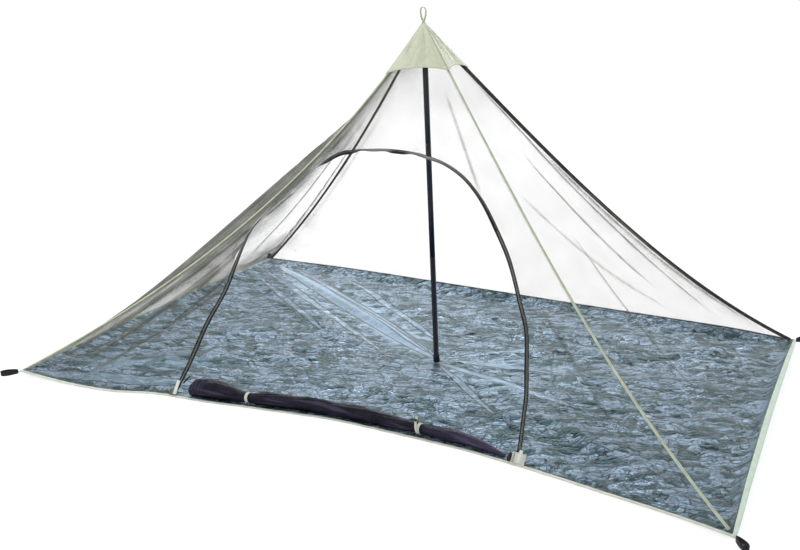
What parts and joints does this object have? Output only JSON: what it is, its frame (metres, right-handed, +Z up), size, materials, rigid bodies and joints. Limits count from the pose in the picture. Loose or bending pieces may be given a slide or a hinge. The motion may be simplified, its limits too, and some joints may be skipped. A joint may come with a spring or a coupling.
{
  "type": "mosquito net tent with centre pole",
  "caption": "Pyramid mosquito net tent on a centre pole, with an arched zip doorway, its door net rolled and tied at the hem, a crinkled floor sheet, a coated cap and corner loops.",
  "frame": {"origin": "on the ground below the peak, at the centre of the bounding box's base", "axes": "+X along the long front towards its right end, -Y out of the doorway, +Z up"},
  "size_m": [2.2881, 1.3081, 1.1177],
  "materials": {
    "net_olive": "fine knitted polyester mosquito mesh, about 1 mm openings, sheer",
    "floor_blue_grey": "coated polyester floor sheet, crinkled, semi-gloss",
    "cap_sage": "coated polyester cap, matte",
    "tape_pale_green": "woven binding tape, matte",
    "zip_black": "zip tape with nylon coil, matte",
    "roll_dark": "rolled mosquito mesh, many layers deep",
    "webbing_black": "woven webbing, matte",
    "pole_black": "black painted tube, satin",
    "hardware_black": "moulded plastic, matte"
  },
  "bodies": {
    "root": {"net_front": "net_olive", "net_left": "net_olive", "net_right": "net_olive", "net_back": "net_olive", "floor": "floor_blue_grey", "cap_front": "cap_sage", "cap_left": "cap_sage", "cap_right": "cap_sage", "cap_back": "cap_sage", "ridge_tape_front_left": "tape_pale_green", "ridge_tape_front_right": "tape_pale_green", "ridge_tape_back_left": "tape_pale_green", "ridge_tape_back_right": "tape_pale_green", "hem_tape_front": "tape_pale_green", "hem_tape_left": "tape_pale_green", "hem_tape_right": "tape_pale_green", "hem_tape_back": "tape_pale_green", "zip_arch": "zip_black", "zip_slider": "hardware_black", "zip_tab_left": "tape_pale_green", "zip_tab_right": "tape_pale_green", "door_roll": "roll_dark", "tie_left": "tape_pale_green", "tie_right": "tape_pale_green", "tie_right_end": "tape_pale_green", "tie_toggle": "hardware_black", "peg_loop_front_left": "webbing_black", "peg_loop_front_right": "webbing_black", "peg_loop_back_left": "webbing_black", "peg_loop_back_right": "webbing_black", "peak_loop": "tape_pale_green", "pole": "pole_black"}
  },
  "joints": []
}
